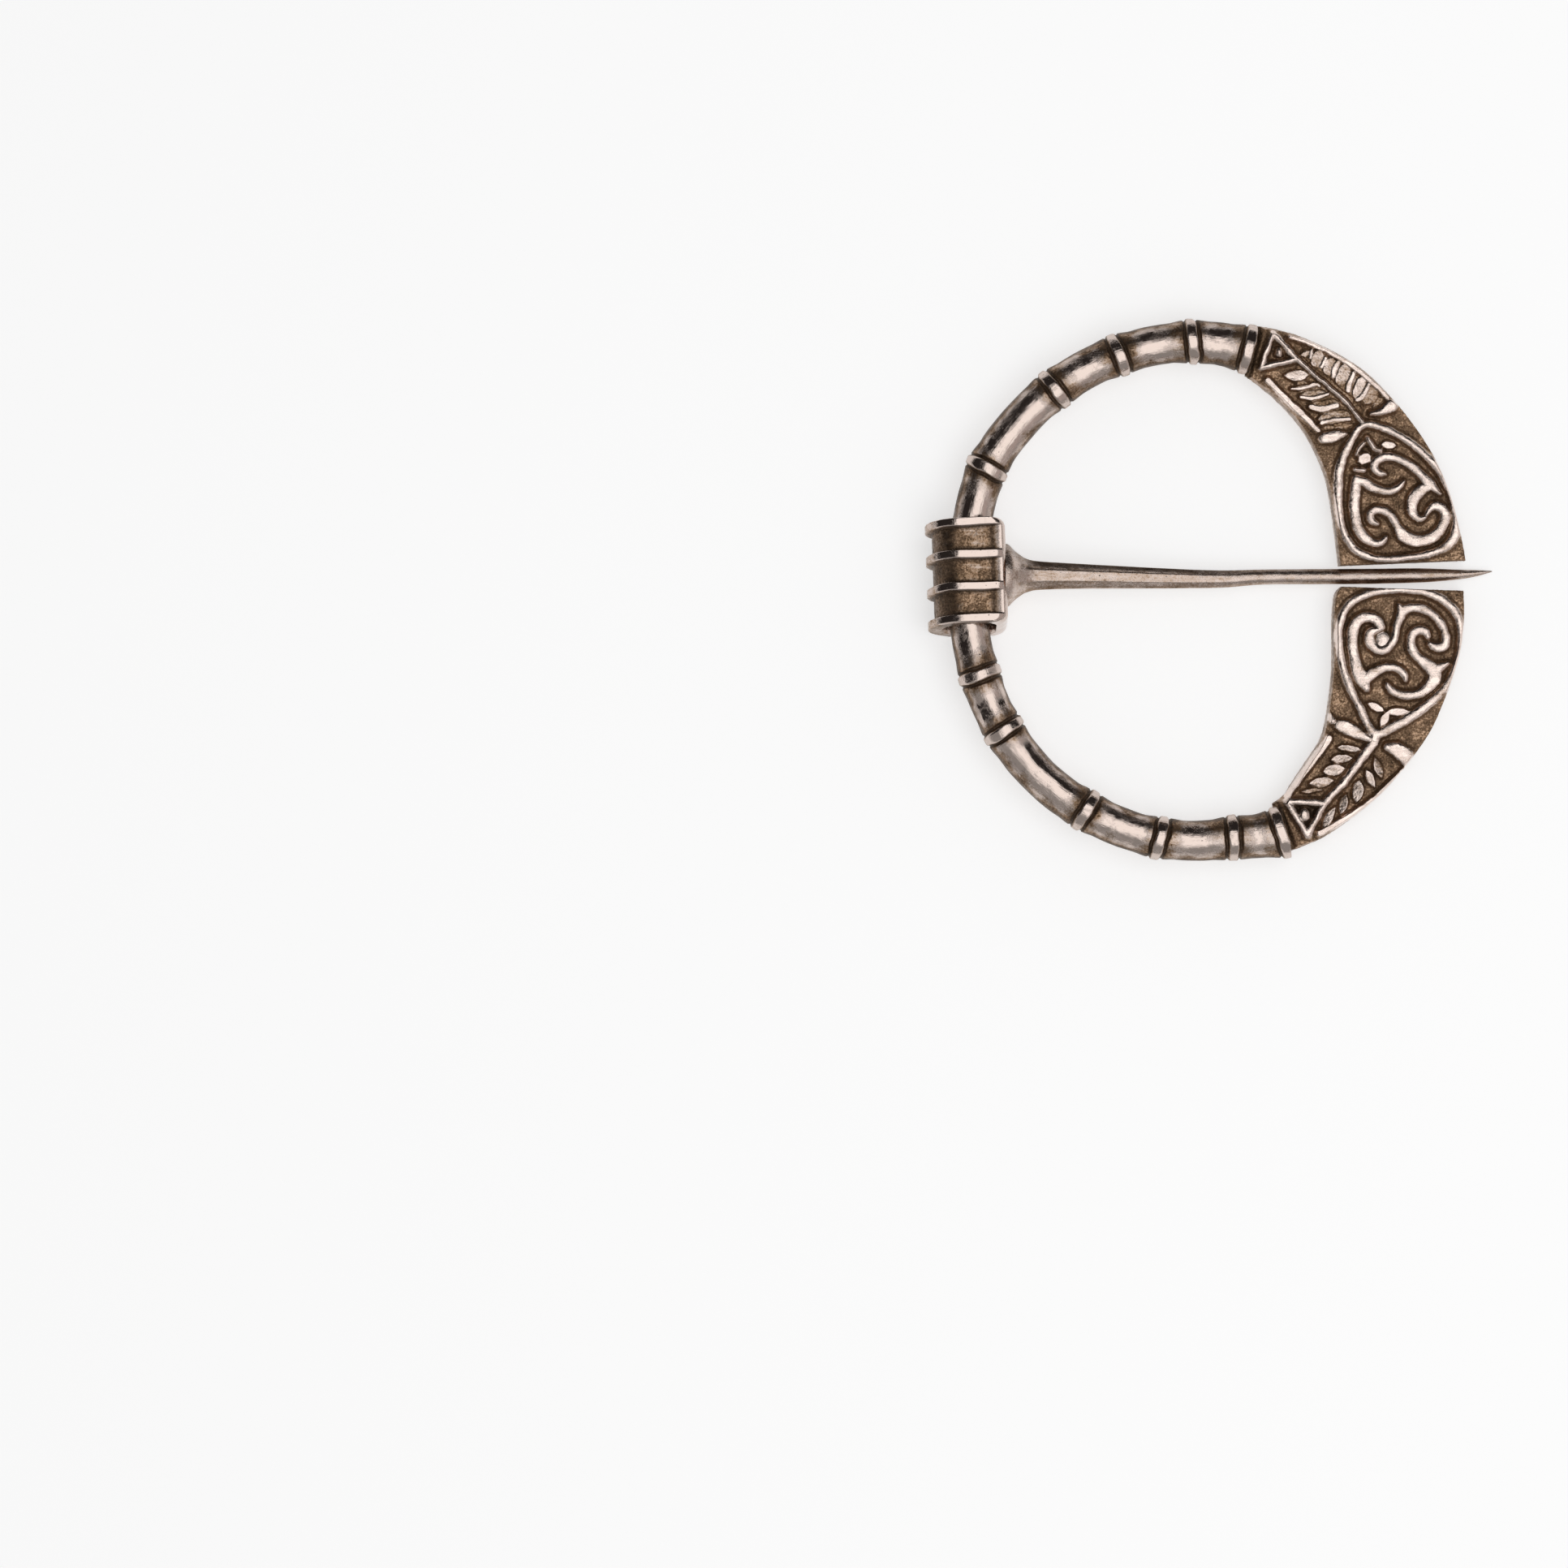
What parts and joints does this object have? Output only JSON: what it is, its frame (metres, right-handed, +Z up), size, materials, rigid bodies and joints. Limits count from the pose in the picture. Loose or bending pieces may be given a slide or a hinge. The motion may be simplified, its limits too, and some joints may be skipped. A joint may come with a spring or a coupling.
{
  "type": "penannular brooch with a loose pin",
  "caption": "Round banded hoop, open between two flat terminals with raised ornament, with a long pin whose ribbed head turns round the hoop.",
  "frame": {"origin": "on the surface that the brooch lies on, under the middle of its box", "axes": "+Z up, from the surface to the ornamented face; +X from the pin's head to its point, through the opening between the terminals"},
  "size_m": [0.0468, 0.0445, 0.0058],
  "materials": {
    "ring_silver": "oxidised silver, dark in the hollows and worn bright on the raised parts",
    "pin_silver": "oxidised silver, worn bright, with long facets on the shank"
  },
  "bodies": {
    "ring": {"ring": "ring_silver"},
    "pin": {"pin": "pin_silver"}
  },
  "joints": [
    {"name": "pin_swing", "type": "hinge", "parent": "ring", "child": "pin", "pos_m": [-0.0199, 0.00105, 0.0029], "axis": [0, -1, 0], "continuous": true}
  ]
}
